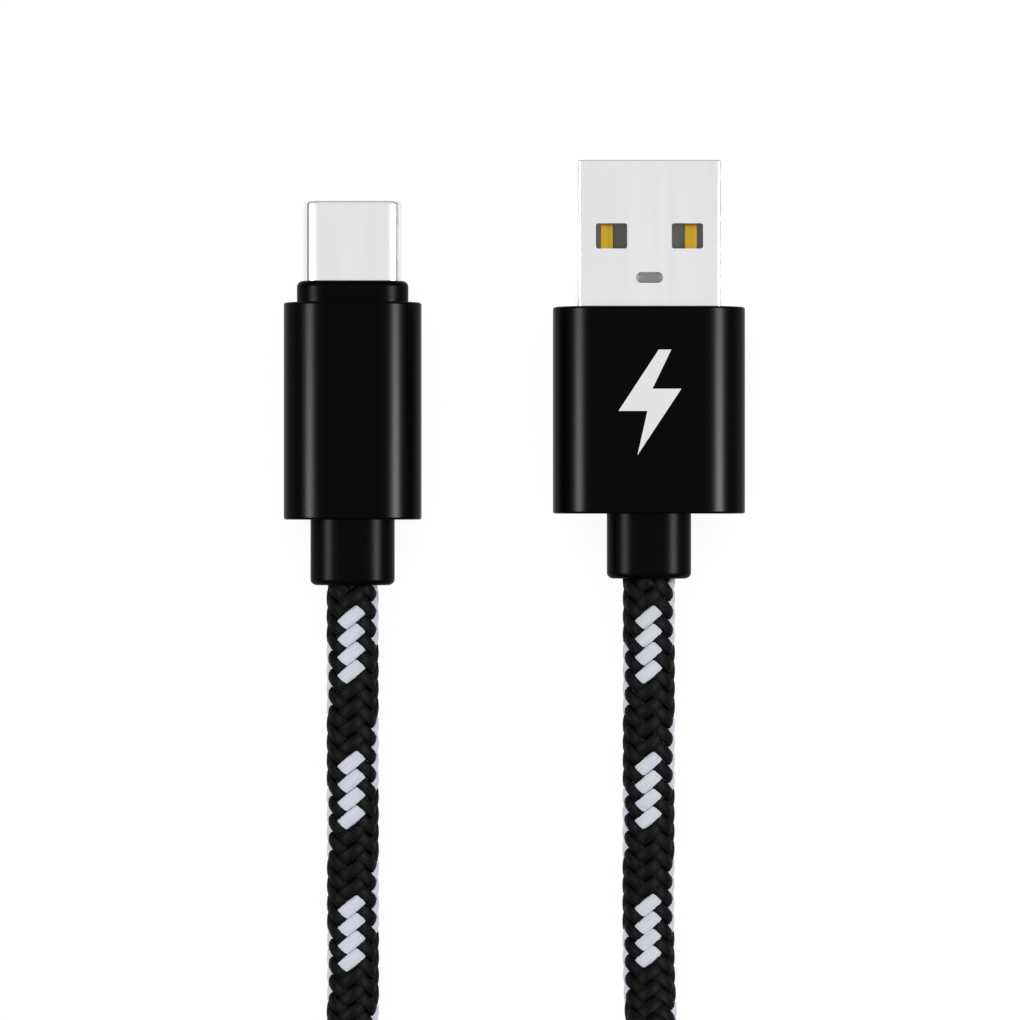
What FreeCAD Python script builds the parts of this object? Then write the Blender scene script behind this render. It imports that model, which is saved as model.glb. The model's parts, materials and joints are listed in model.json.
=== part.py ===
import FreeCAD, Part

import math
import os

import Sketcher

# A charging cable with a USB-A plug on one end and a USB-C plug on the other. Both plugs lie flat
# with their tips towards +Y, and the cord runs back from them to a hank tied with a strap.
# The origin is on the table, below the middle of the two plugs. Millimetres, +Z up.

SIZES = {
    # where the plugs lie: each plug's own origin is on its axis, at its sleeve's front face
    "a_axis_x": 11.225,
    "a_front_y": 5.475,
    "c_axis_x": -13.475,
    "c_front_y": 5.875,
    # USB-A plug
    "a_shell_width": 12.0,
    "a_shell_height": 4.5,
    "a_shell_wall": 0.3,
    "a_shell_corner": 0.35,
    "a_shell_lead_in": 0.2,
    "a_shell_reach": 12.2,
    "a_shell_root": 5.0,
    "a_window_width": 2.6,
    "a_window_length": 2.1,
    "a_window_offset": 3.15,
    "a_window_middle": 5.85,
    "a_window_corner": 0.2,
    "a_slot_length": 2.25,
    "a_slot_width": 0.9,
    "a_slot_middle": 2.4,
    "a_seam": 0.1,
    "a_block_front": 3.4,
    "a_block_rear": 4.8,
    "a_block_corner": 0.25,
    "a_tongue_tip": 11.9,
    "a_tongue_height": 1.9,
    "a_tongue_corner": 0.2,
    "a_contact_width": 1.0,
    "a_contact_height": 0.3,
    "a_contact_edge": 0.02,
    "a_contact_proud": 0.05,
    "a_contact_tail": 7.4,
    "a_joints_behind": 6.7,
    "a_outer_contact_x": 3.5,
    "a_inner_contact_x": 1.0,
    "a_outer_contact_tip": 11.2,
    "a_inner_contact_tip": 10.2,
    "a_sleeve_width": 16.0,
    "a_sleeve_height": 7.8,
    "a_sleeve_length": 17.2,
    "a_can_front": 3.5,
    "a_can_rear": 12.25,
    "a_relief_end": 22.6,
    # USB-C plug
    "c_shell_width": 8.25,
    "c_shell_height": 2.4,
    "c_shell_wall": 0.2,
    "c_shell_lip": 0.4,
    "c_shell_lip_length": 0.3,
    "c_shell_lead_in": 0.35,
    "c_shell_reach": 8.5,
    "c_shell_root": 4.0,
    "c_slot_width": 6.7,
    "c_slot_height": 1.1,
    "c_slot_corner": 0.15,
    "c_housing_height": 1.8,
    "c_housing_rear": 3.5,
    "c_contact_pitch": 0.5,
    "c_contact_width": 0.25,
    "c_contact_height": 0.15,
    "c_contact_tip": 7.5,
    "c_plate_height": 0.2,
    "c_web_rear": 0.9,
    "c_web_front": 1.0,
    "c_arm_width": 0.3,
    "c_arm_length": 5.5,
    "c_hook_start": 5.9,
    "c_hook_width": 0.4,
    "c_hook_length": 0.6,
    "c_hook_shift": 0.2,
    "c_spring_height": 0.1,
    "c_spring_start": 3.0,
    "c_spring_width": 5.0,
    "c_spring_band": 0.6,
    "c_finger_width": 0.9,
    "c_finger_length": 3.0,
    "c_finger_pitch": 1.9,
    "c_board_behind": 1.0,
    "c_board_width": 6.5,
    "c_board_length": 9.4,
    "c_board_height": 0.8,
    "c_joints_behind": 8.2,
    "c_joint_pitch": 1.5,
    "chip_offset": 1.4,
    "chip_behind": 6.4,
    "chip_width": 1.0,
    "chip_length": 0.5,
    "resistor_height": 0.35,
    "capacitor_height": 0.5,
    "c_collar_width": 9.3,
    "c_collar_height": 4.4,
    "c_collar_length": 1.8,
    "c_collar_edge": 0.5,
    "c_spigot": 2.0,
    "c_sleeve_width": 11.5,
    "c_sleeve_height": 7.0,
    "c_sleeve_length": 18.1,
    "c_can_width": 8.75,
    "c_can_height": 4.1,
    "c_can_corner": 1.5,
    "c_can_lid": 1.0,
    "c_can_front": 3.0,
    "c_can_rear": 13.25,
    "c_relief_end": 23.55,
    # both plugs
    "sleeve_corner": 3.49,
    "sleeve_wall": 0.8,
    "sleeve_edge": 0.2,
    "can_wall": 0.25,
    "crimp_length": 2.0,
    "relief_flange": 2.1,
    "relief_width": 7.0,
    "relief_height": 6.0,
    "relief_corner": 2.4,
    "relief_edge": 0.5,
    "braid_end": 4.2,
    "solder_height": 0.35,
    "solder_radius": 0.45,
    "solder_tip_radius": 0.27,
    "wire_diameter": 0.8,
    "wire_lead": 0.5,
    # cord
    "cord_diameter": 4.4,
    "jacket_diameter": 3.6,
    "hank_top": 56.5,
    "fold_radius": 15.4,
    "half_spacing": 43.0,
    "waist": 9.0,
    "bundle": 8.8,
    "bundle_round": 2.1,
    "strap_width": 12.0,
    "strap_thickness": 1.0,
    "strap_half_width": 9.15,
    "strap_top": 9.2,
    "strap_corner": 2.0,
    "strap_tail": 13.0,
    "strap_edge": 0.3,
}

GAP = "0.05"  # between pieces that only rest beside each other
BEND_SHARE = 0.45  # how much of the shorter run beside a corner of a route its bend takes
COINCIDENT = 1e-4  # how far apart two places can be and still count as one
LEAST_CUT = 1e-6  # the volume a cut has to take away at least
TUBE_TOLERANCE = 0.01  # how far a tube's volume can be from its section times its length

doc = FreeCAD.newDocument("charging_cable")
sheet = doc.addObject("Spreadsheet::Sheet", "Sizes")
for row, (alias, size) in enumerate(SIZES.items(), start=1):
    sheet.set(f"A{row}", alias)
    sheet.set(f"B{row}", str(size))
    sheet.setAlias(f"B{row}", alias)
doc.recompute()

PLUGS = {
    "a": ("Sizes.a_axis_x", "Sizes.a_front_y", "Sizes.a_sleeve_height / 2"),
    "c": ("Sizes.c_axis_x", "Sizes.c_front_y", "Sizes.c_sleeve_height / 2"),
    "hank": (
        "(Sizes.a_axis_x + Sizes.c_axis_x) / 2",
        "-Sizes.hank_top - Sizes.fold_radius - Sizes.bundle / 2 - Sizes.half_spacing",
        "0",
    ),
}
nodes = []


def value(text):
    """What an expression comes to, in millimetres."""
    return float(sheet.evalExpression(text))


def bind(thing, **sizes):
    for name, text in sizes.items():
        thing.setExpression(name.replace("__", "."), text)


def put(thing, x="0", y="0", z="0"):
    """Places an object, each coordinate bound to an expression."""
    bind(thing, Placement__Base__x=x, Placement__Base__y=y, Placement__Base__z=z)


def keep(thing, label, plug):
    """Names a sub-part and puts it where its plug, or the hank, lies."""
    thing.Label = label
    put(thing, *PLUGS[plug])
    nodes.append(thing)
    return thing


def new_body(label, plug):
    return keep(doc.addObject("PartDesign::Body", label), label, plug)


def sketch_on(body, role, offset="0"):
    """A sketch on one of the body's own planes, moved along the plane's normal."""
    sketch = body.newObject("Sketcher::SketchObject", "section")
    plane = [f for f in body.Origin.OriginFeatures if f.Role == role][0]
    sketch.AttachmentSupport = [(plane, "")]
    sketch.MapMode = "FlatFace"
    bind(sketch, AttachmentOffset__Base__z=offset)
    return sketch


def dimension(sketch, kind, size, *where):
    """A driving dimension of a sketch, bound to an expression."""
    index = sketch.addConstraint(Sketcher.Constraint(kind, *where, value(size)))
    sketch.setExpression(f"Constraints[{index}]", size)


def arc(x, y, radius, start, end):
    circle = Part.Circle(FreeCAD.Vector(x, y, 0), FreeCAD.Vector(0, 0, 1), radius)
    return Part.ArcOfCircle(circle, math.radians(start), math.radians(end))


def line(x0, y0, x1, y1):
    return Part.LineSegment(FreeCAD.Vector(x0, y0, 0), FreeCAD.Vector(x1, y1, 0))


def tangent_ring(sketch, count):
    """Joins the sketch's first curves end to start, each tangent to the next."""
    for i in range(count):
        sketch.addConstraint(Sketcher.Constraint("Tangent", i, 2, (i + 1) % count, 1))


def draw_rounded(sketch, width, height, radius):
    """A rounded rectangle about the sketch's origin."""
    a, b, r = value(width) / 2, value(height) / 2, value(radius)
    sketch.addGeometry(line(-a + r, -b, a - r, -b))
    sketch.addGeometry(arc(a - r, -b + r, r, -90, 0))
    sketch.addGeometry(line(a, -b + r, a, b - r))
    sketch.addGeometry(arc(a - r, b - r, r, 0, 90))
    sketch.addGeometry(line(a - r, b, -a + r, b))
    sketch.addGeometry(arc(-a + r, b - r, r, 90, 180))
    sketch.addGeometry(line(-a, b - r, -a, -b + r))
    sketch.addGeometry(arc(-a + r, -b + r, r, 180, 270))
    tangent_ring(sketch, 8)
    for flat, upright in ((0, 2), (4, 6)):
        sketch.addConstraint(Sketcher.Constraint("Horizontal", flat))
        sketch.addConstraint(Sketcher.Constraint("Vertical", upright))
    for corner in (3, 5, 7):
        sketch.addConstraint(Sketcher.Constraint("Equal", 1, corner))
    sketch.addConstraint(Sketcher.Constraint("Symmetric", 0, 1, 4, 1, -1, 1))
    dimension(sketch, "DistanceX", width, 6, 1, 2, 1)
    dimension(sketch, "DistanceY", height, 0, 1, 4, 1)
    dimension(sketch, "Radius", radius, 1)


def draw_obround(sketch, width, height):
    """A rectangle with half-round ends about the sketch's origin."""
    a, r = value(width) / 2, value(height) / 2
    sketch.addGeometry(line(-a + r, -r, a - r, -r))
    sketch.addGeometry(arc(a - r, 0, r, -90, 90))
    sketch.addGeometry(line(a - r, r, -a + r, r))
    sketch.addGeometry(arc(-a + r, 0, r, 90, 270))
    tangent_ring(sketch, 4)
    sketch.addConstraint(Sketcher.Constraint("Horizontal", 0))
    sketch.addConstraint(Sketcher.Constraint("Symmetric", 0, 1, 2, 1, -1, 1))
    dimension(sketch, "Radius", f"({height}) / 2", 1)
    dimension(sketch, "DistanceX", f"({width}) - ({height})", 0, 1, 0, 2)


def draw_circle(sketch, diameter):
    middle = FreeCAD.Vector(0, 0, 0)
    axis = FreeCAD.Vector(0, 0, 1)
    sketch.addGeometry(Part.Circle(middle, axis, value(diameter) / 2))
    sketch.addConstraint(Sketcher.Constraint("Coincident", 0, 3, -1, 1))
    dimension(sketch, "Radius", f"({diameter}) / 2", 0)


def draw_waisted(sketch, end_radius, waist):
    """A loop with round ends about half_spacing from the origin and hollow sides."""
    ring, narrow, spacing = value(end_radius), value(waist), value("Sizes.half_spacing")
    side = f"(({waist})^2 + Sizes.half_spacing^2 - ({end_radius})^2)"
    side += f" / (2 * (({end_radius}) - ({waist})))"
    hollow = value(side)
    slope = math.degrees(math.atan2(spacing, narrow + hollow))
    sketch.addGeometry(arc(0, spacing, ring, -slope, 180 + slope))
    sketch.addGeometry(arc(-narrow - hollow, 0, hollow, -slope, slope))
    sketch.addGeometry(arc(0, -spacing, ring, 180 - slope, 360 + slope))
    sketch.addGeometry(arc(narrow + hollow, 0, hollow, 180 - slope, 180 + slope))
    for start, turns_in in ((0, 1), (1, 2), (2, 3), (3, 0)):
        point = 2 if start % 2 == 0 else 1
        sketch.addConstraint(
            Sketcher.Constraint("Tangent", start, point, turns_in, point)
        )
    for end in (0, 2):
        sketch.addConstraint(Sketcher.Constraint("PointOnObject", end, 3, -2))
    dimension(sketch, "DistanceY", "Sizes.half_spacing", -1, 1, 0, 3)
    dimension(sketch, "DistanceY", "Sizes.half_spacing", 2, 3, -1, 1)
    dimension(sketch, "Radius", end_radius, 0)
    sketch.addConstraint(Sketcher.Constraint("Equal", 0, 2))
    dimension(sketch, "Radius", side, 1)
    sketch.addConstraint(Sketcher.Constraint("Equal", 1, 3))


def extrude(body, sketch, length, cut=False, reverse=False, both=False):
    """Pads or pockets a sketch, and checks that it changed the solid the right way."""
    before = body.Shape.Volume if cut else 0
    kind = "PartDesign::Pocket" if cut else "PartDesign::Pad"
    feature = body.newObject(kind, "cut" if cut else "solid")
    feature.Profile = sketch
    feature.Reversed = reverse
    feature.Midplane = both
    bind(feature, Length=length)
    doc.recompute()
    if cut and body.Shape.Volume > before - LEAST_CUT:
        raise ValueError(f"{body.Label}: a pocket cuts nothing")
    return feature


def bar(body, draw, section, start, end, cut=False, centre=("0", "0")):
    """A straight bar, or a bore, of one section along Y from start to end."""
    sketch = sketch_on(body, "XZ_Plane", f"-({start})")
    bind(sketch, AttachmentOffset__Base__x=centre[0])
    bind(sketch, AttachmentOffset__Base__y=centre[1])
    draw(sketch, *section)
    return extrude(body, sketch, f"({end}) - ({start})", cut, reverse=not cut)


def round_edges(body, radius, chosen):
    """Rounds the edges of the body's last feature that chosen() picks."""
    feature = body.Tip
    names = [f"Edge{i}" for i, e in enumerate(feature.Shape.Edges, 1) if chosen(e)]
    rounding = body.newObject("PartDesign::Fillet", "rounding")
    rounding.Base = (feature, names)
    bind(rounding, Radius=radius)
    doc.recompute()


def lies_at(axis, place):
    """Picks the edges that lie wholly in the plane where that coordinate is place."""

    def chosen(edge):
        box = edge.BoundBox
        low, high = (box.YMin, box.YMax) if axis == "y" else (box.ZMin, box.ZMax)
        return abs(low - place) < COINCIDENT and abs(high - place) < COINCIDENT

    return chosen


def block(label, x, y, z, long, deep, high):
    """A rectangular block from its middle in x and its lowest y and z."""
    box = doc.addObject("Part::Box", label)
    bind(box, Length=long, Width=deep, Height=high)
    put(box, f"({x}) - ({long}) / 2", y, z)
    return box


def group(label, plug, members):
    """Several separate solids that make one sub-part."""
    compound = doc.addObject("Part::Compound", label)
    compound.Links = members
    return keep(compound, label, plug)


def rounded_route(points):
    """The wire through a list of points, with its corners rounded, and the bends' radii."""
    points = [FreeCAD.Vector(*p) for p in points]
    edges, radii, start = [], [], points[0]
    for before, corner, after in zip(points, points[1:], points[2:]):
        back, on = (before - corner), (after - corner)
        cut = BEND_SHARE * min(back.Length, on.Length)
        turn = math.pi - back.getAngle(on)
        radius = cut / math.tan(turn / 2)
        first = corner + back * (cut / back.Length)
        last = corner + on * (cut / on.Length)
        inward = (back * (1 / back.Length) + on * (1 / on.Length)).normalize()
        to_centre = radius / math.cos(turn / 2)
        middle = corner + inward * (to_centre - radius)
        edges.append(Part.LineSegment(start, first).toShape())
        edges.append(Part.Arc(first, middle, last).toShape())
        radii.append(radius)
        start = last
    edges.append(Part.LineSegment(start, points[-1]).toShape())
    return Part.Wire(edges), radii


def tube(label, points, diameter):
    """A round tube along a route, its volume compared with its section times its length."""
    route, radii = rounded_route(points)
    way = FreeCAD.Vector(*points[1]) - FreeCAD.Vector(*points[0])
    circle = Part.Circle(FreeCAD.Vector(*points[0]), way, diameter / 2).toShape()
    shape = route.makePipeShell([Part.Wire(circle)], True, True)
    expected = math.pi * diameter**2 / 4 * route.Length
    if abs(shape.Volume / expected - 1) > TUBE_TOLERANCE:
        raise ValueError(f"{label}: the tube's volume is {shape.Volume / expected:.3f}")
    print(f"{label}: length {route.Length:.1f}, radii", [round(r, 1) for r in radii])
    return shape


def solid_from(label, plug, shape):
    """A sub-part whose shape comes from Part's own functions."""
    feature = doc.addObject("Part::Feature", label)
    feature.Shape = shape
    return keep(feature, label, plug)


# ---- pieces that both plugs have, each made to its own plug's sizes


def make_sleeve(plug):
    """The anodised sleeve: a tube with full-round sides and softened ends."""
    width, height = f"Sizes.{plug}_sleeve_width", f"Sizes.{plug}_sleeve_height"
    rear = f"-Sizes.{plug}_sleeve_length"
    body = new_body(f"{plug}_sleeve", plug)
    bar(body, draw_rounded, (width, height, "Sizes.sleeve_corner"), rear, "0")
    round_edges(
        body,
        "Sizes.sleeve_edge",
        lambda e: lies_at("y", 0)(e) or lies_at("y", value(rear))(e),
    )
    bar(body, draw_rounded, bore_section(plug), rear, "0", cut=True)


def bore_section(plug):
    """The section inside the sleeve, which the core and the relief's flange fill."""
    return (
        f"Sizes.{plug}_sleeve_width - 2 * Sizes.sleeve_wall",
        f"Sizes.{plug}_sleeve_height - 2 * Sizes.sleeve_wall",
        "Sizes.sleeve_corner - Sizes.sleeve_wall",
    )


def make_relief(plug):
    """The strain relief: a flange inside the sleeve's rear end and a rounded neck behind it."""
    end = f"-Sizes.{plug}_relief_end"
    rear = f"-Sizes.{plug}_sleeve_length"
    front = f"{rear} + Sizes.relief_flange"
    neck = ("Sizes.relief_width", "Sizes.relief_height", "Sizes.relief_corner")
    body = new_body(f"{plug}_strain_relief", plug)
    bar(body, draw_rounded, neck, end, rear)
    round_edges(body, "Sizes.relief_edge", lies_at("y", value(end)))
    bar(body, draw_rounded, bore_section(plug), rear, front)
    stop = f"{end} + Sizes.braid_end"
    bar(body, draw_circle, ("Sizes.cord_diameter",), end, stop, cut=True)
    bar(body, draw_circle, ("Sizes.jacket_diameter",), stop, front, cut=True)


def make_cable_end(plug):
    """The cord's end inside the plug: the braid stops in the relief, and the jacket in the can."""
    end = f"-Sizes.{plug}_relief_end"
    stop = f"{end} + Sizes.braid_end"
    front = f"-Sizes.{plug}_can_rear + 2 * Sizes.can_wall"
    body = new_body(f"{plug}_cable_end", plug)
    bar(body, draw_circle, ("Sizes.cord_diameter",), end, stop)
    bar(body, draw_circle, ("Sizes.jacket_diameter",), stop, front)


def crimp_diameter():
    return "Sizes.jacket_diameter + 2 * Sizes.can_wall"


def make_can(plug, outer, rooms):
    """The metal can over the joints, with a round crimp collar on the cable's jacket."""
    rear = f"-Sizes.{plug}_can_rear"
    crimp_end = f"{rear} - Sizes.crimp_length"
    inside = f"{rear} + Sizes.can_wall"
    body = new_body(f"{plug}_shield_can", plug)
    bar(body, draw_rounded, outer, rear, f"-Sizes.{plug}_can_front")
    bar(body, draw_circle, (crimp_diameter(),), crimp_end, rear)
    for draw, section, end in rooms:
        bar(body, draw, section, inside, end, cut=True)
    bore = ("Sizes.jacket_diameter",)
    bar(body, draw_circle, bore, crimp_end, inside, cut=True)


def make_core(plug, can, mouth, front):
    """The plastic moulded round the can, filling the sleeve as far as the relief's flange."""
    rear = f"-Sizes.{plug}_sleeve_length + Sizes.relief_flange"
    can_rear = f"-Sizes.{plug}_can_rear"
    can_front = f"-Sizes.{plug}_can_front"
    crimp_end = f"{can_rear} - Sizes.crimp_length"
    body = new_body(f"{plug}_core", plug)
    bar(body, draw_rounded, bore_section(plug), rear, front)
    bar(body, draw_rounded, can, can_rear, can_front, cut=True)
    bar(body, *mouth, can_front, front, cut=True)
    bar(body, draw_circle, (crimp_diameter(),), crimp_end, can_rear, cut=True)
    bar(body, draw_circle, ("Sizes.jacket_diameter",), rear, crimp_end, cut=True)


def make_solder(plug, places, y, z):
    """Four cone-shaped solder joints on the pads or contact tails."""
    cones = []
    for x in places:
        cone = doc.addObject("Part::Cone", "joint")
        bind(
            cone,
            Radius1="Sizes.solder_radius",
            Radius2="Sizes.solder_tip_radius",
            Height="Sizes.solder_height",
        )
        put(cone, x, y, z)
        cones.append(cone)
    group(f"{plug}_solder_joints", plug, cones)


# where each wire enters the cable's jacket: sideways from the axis, and above it
WIRE_ENDS = {
    "red": (-1.25, 0.5),
    "white": (-0.42, 0.8),
    "green": (0.42, 0.8),
    "black": (1.25, 0.5),
}
WIRE_BENDS = (0.3, 0.8)  # how far along, from the joint to the jacket, each wire turns
WIRE_GAP = 0.02  # between a wire and the solder joint under it


def make_wires(plug, places, joint_y, joint_z):
    """Four insulated wires from the joints back to the end of the cable's jacket."""
    diameter = value("Sizes.wire_diameter")
    floor = value(joint_z) + value("Sizes.solder_height") + diameter / 2 + WIRE_GAP
    end = value(f"-Sizes.{plug}_can_rear + 2 * Sizes.can_wall")
    front = value(f"{joint_y} + Sizes.wire_lead")
    leave, gather = (front + (end - front) * share for share in WIRE_BENDS)
    for x, (colour, (side, high)) in zip(places, WIRE_ENDS.items()):
        points = [
            (value(x), front, floor),
            (value(x), leave, floor),
            (side, gather, high),
            (side, end, high),
        ]
        name = f"{plug}_wire_{colour}"
        solid_from(name, plug, tube(name, points, diameter))


# ---- USB-A plug

SHELL_A = ("Sizes.a_shell_width", "Sizes.a_shell_height", "Sizes.a_shell_corner")
CAN_A = (
    "Sizes.a_shell_width + 2 * Sizes.can_wall",
    "Sizes.a_shell_height + 2 * Sizes.can_wall",
    "Sizes.a_shell_corner + Sizes.can_wall",
)
BORE_A = (
    "Sizes.a_shell_width - 2 * Sizes.a_shell_wall",
    "Sizes.a_shell_height - 2 * Sizes.a_shell_wall",
    "Sizes.a_shell_corner - Sizes.a_shell_wall",
)
CONTACT_SECTION = (
    "Sizes.a_contact_width",
    "Sizes.a_contact_height",
    "Sizes.a_contact_edge",
)
CONTACT_Z = "Sizes.a_contact_proud - Sizes.a_contact_height"


def make_a_shell():
    """The rolled shell, with two latch windows above and below, a slot and the seam."""
    body = new_body("a_shell", "a")
    bar(body, draw_rounded, SHELL_A, "-Sizes.a_shell_root", "Sizes.a_shell_reach")
    rim = lies_at("y", value("Sizes.a_shell_reach"))
    round_edges(body, "Sizes.a_shell_lead_in", rim)
    bar(
        body,
        draw_rounded,
        BORE_A,
        "-Sizes.a_shell_root",
        "Sizes.a_shell_reach",
        cut=True,
    )
    opening = ("Sizes.a_window_width", "Sizes.a_window_length", "Sizes.a_window_corner")
    for side in ("Sizes.a_window_offset", "-Sizes.a_window_offset"):
        window = sketch_on(body, "XY_Plane")
        bind(window, AttachmentOffset__Base__x=side)
        bind(window, AttachmentOffset__Base__y="Sizes.a_window_middle")
        draw_rounded(window, *opening)
        extrude(body, window, "2 * Sizes.a_shell_height", cut=True, both=True)
    slot = sketch_on(body, "XY_Plane")
    bind(slot, AttachmentOffset__Base__y="Sizes.a_slot_middle")
    draw_obround(slot, "Sizes.a_slot_length", "Sizes.a_slot_width")
    extrude(body, slot, "Sizes.a_shell_height", cut=True, reverse=True)
    seam = sketch_on(body, "XY_Plane")
    bind(seam, AttachmentOffset__Base__y="Sizes.a_shell_reach / 2")
    draw_rounded(seam, "Sizes.a_seam", "3 * Sizes.a_shell_reach", "Sizes.a_seam / 4")
    extrude(body, seam, "Sizes.a_shell_height", cut=True)


def make_a_tongue():
    """The insulator: a block that fills the shell's root and a half-height tongue."""
    width = f"Sizes.a_shell_width - 2 * Sizes.a_shell_wall - 2 * {GAP}"
    height = f"Sizes.a_shell_height - 2 * Sizes.a_shell_wall - 2 * {GAP}"
    block_section = (width, height, "Sizes.a_block_corner")
    tongue_section = (width, "Sizes.a_tongue_height", "Sizes.a_tongue_corner")
    body = new_body("a_tongue", "a")
    bar(body, draw_rounded, block_section, "-Sizes.a_block_rear", "Sizes.a_block_front")
    bar(
        body,
        draw_rounded,
        tongue_section,
        "Sizes.a_block_front",
        "Sizes.a_tongue_tip",
        centre=("0", "-Sizes.a_tongue_height / 2"),
    )
    middle = f"{CONTACT_Z} + Sizes.a_contact_height / 2"
    for x, tip in A_CONTACTS.values():
        bar(
            body,
            draw_rounded,
            CONTACT_SECTION,
            "-Sizes.a_shell_root",
            tip,
            cut=True,
            centre=(x, middle),
        )


A_CONTACTS = {
    "vbus": ("-Sizes.a_outer_contact_x", "Sizes.a_outer_contact_tip"),
    "d_minus": ("-Sizes.a_inner_contact_x", "Sizes.a_inner_contact_tip"),
    "d_plus": ("Sizes.a_inner_contact_x", "Sizes.a_inner_contact_tip"),
    "ground": ("Sizes.a_outer_contact_x", "Sizes.a_outer_contact_tip"),
}


def make_a_contacts():
    """Four gold-plated strips, each with its own node."""
    middle = f"{CONTACT_Z} + Sizes.a_contact_height / 2"
    for name, (x, tip) in A_CONTACTS.items():
        body = new_body(f"a_contact_{name}", "a")
        bar(
            body,
            draw_rounded,
            CONTACT_SECTION,
            "-Sizes.a_contact_tail",
            tip,
            centre=(x, middle),
        )


def make_a_plug():
    make_a_shell()
    make_a_tongue()
    make_a_contacts()
    joints = [x for x, _ in A_CONTACTS.values()]
    joint_y = "-Sizes.a_joints_behind"
    make_solder("a", joints, joint_y, "Sizes.a_contact_proud")
    make_wires("a", joints, joint_y, "Sizes.a_contact_proud")
    mouth = (draw_rounded, SHELL_A)
    make_cable_end("a")
    make_can("a", CAN_A, [(*mouth, "-Sizes.a_can_front")])
    make_core("a", CAN_A, mouth, "0")
    make_sleeve("a")
    make_relief("a")


# ---- USB-C plug

SHELL_C = ("Sizes.c_shell_width", "Sizes.c_shell_height")
CAN_C = ("Sizes.c_can_width", "Sizes.c_can_height", "Sizes.c_can_corner")
CAN_C_INSIDE = (
    "Sizes.c_can_width - 2 * Sizes.can_wall",
    "Sizes.c_can_height - 2 * Sizes.can_wall",
    "Sizes.c_can_corner - Sizes.can_wall",
)
SHELL_C_STOP = "Sizes.c_shell_reach - Sizes.c_shell_lip_length"  # behind the turned-in rim
MIDDLE_CONTACT = 6.5  # the contacts are numbered 1 to 12 from one side
UPPER_CONTACTS = (1, 4, 5, 6, 7, 9, 12)
LOWER_CONTACTS = (1, 4, 5, 9, 12)


def make_c_shell():
    """The drawn shell: half-round sides, with its rim turned in at the mouth."""
    body = new_body("c_shell", "c")
    bar(body, draw_obround, SHELL_C, "-Sizes.c_shell_root", "Sizes.c_shell_reach")
    rim = lies_at("y", value("Sizes.c_shell_reach"))
    round_edges(body, "Sizes.c_shell_lead_in", rim)
    for wall, start, end in (
        ("Sizes.c_shell_lip", "-Sizes.c_shell_root", "Sizes.c_shell_reach"),
        ("Sizes.c_shell_wall", "-Sizes.c_shell_root", SHELL_C_STOP),
    ):
        section = [f"{size} - 2 * {wall}" for size in SHELL_C]
        bar(body, draw_obround, section, start, end, cut=True)


def make_c_housing():
    """The insulator inside the shell, with the mating slot through it."""
    start, end = "-Sizes.c_housing_rear", f"{SHELL_C_STOP} - {GAP}"
    outer = (
        f"Sizes.c_shell_width - 2 * Sizes.c_shell_wall - 2 * {GAP}",
        "Sizes.c_housing_height",
    )
    slot = ("Sizes.c_slot_width", "Sizes.c_slot_height", "Sizes.c_slot_corner")
    body = new_body("c_housing", "c")
    bar(body, draw_obround, outer, start, end)
    bar(body, draw_rounded, slot, start, end, cut=True)


def make_c_contacts(row, numbers, low):
    """One row of contacts, as strips along the slot's upper or lower side."""
    tail = "-Sizes.c_shell_root"
    strips = []
    for number in numbers:
        x = f"{number - MIDDLE_CONTACT} * Sizes.c_contact_pitch"
        strips.append(
            block(
                "strip",
                x,
                tail,
                low,
                "Sizes.c_contact_width",
                f"Sizes.c_contact_tip - ({tail})",
                "Sizes.c_contact_height",
            )
        )
    group(f"c_contacts_{row}", "c", strips)


def make_c_latch_plate():
    """The middle plate, with a springy latch arm along each side of the slot."""
    low = "-Sizes.c_plate_height / 2"
    high = "Sizes.c_plate_height"
    width = f"Sizes.c_slot_width - 2 * {GAP}"
    arm_x = f"({width} - Sizes.c_arm_width) / 2"
    web_length = "Sizes.c_web_rear + Sizes.c_web_front"
    members = [block("web", "0", "-Sizes.c_web_rear", low, width, web_length, high)]
    for side in (-1, 1):
        arm_place = (f"{side} * ({arm_x})", "Sizes.c_web_front", low)
        arm = ("Sizes.c_arm_width", "Sizes.c_arm_length", high)
        members.append(block("arm", *arm_place, *arm))
        hook_x = f"{side} * ({arm_x} - Sizes.c_hook_shift)"
        hook = ("Sizes.c_hook_width", "Sizes.c_hook_length", high)
        members.append(block("hook", hook_x, "Sizes.c_hook_start", low, *hook))
    plate = doc.addObject("Part::MultiFuse", "c_latch_plate")
    plate.Shapes = members
    keep(plate, "c_latch_plate", "c")


def make_c_springs():
    """The two grounding springs between the housing and the shell."""
    above = "Sizes.c_housing_height / 2"
    below = f"-({above}) - Sizes.c_spring_height"
    high = "Sizes.c_spring_height"
    start = "Sizes.c_spring_start"
    finger_start = f"{start} + Sizes.c_spring_band"
    band = ("Sizes.c_spring_width", "Sizes.c_spring_band", high)
    finger = ("Sizes.c_finger_width", "Sizes.c_finger_length", high)
    for side, low in (("upper", above), ("lower", below)):
        members = [block("band", "0", start, low, *band)]
        for place in (-1, 0, 1):
            x = f"{place} * Sizes.c_finger_pitch"
            members.append(block("finger", x, finger_start, low, *finger))
        label = f"c_ground_spring_{side}"
        spring = doc.addObject("Part::MultiFuse", label)
        spring.Shapes = members
        keep(spring, label, "c")


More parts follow.
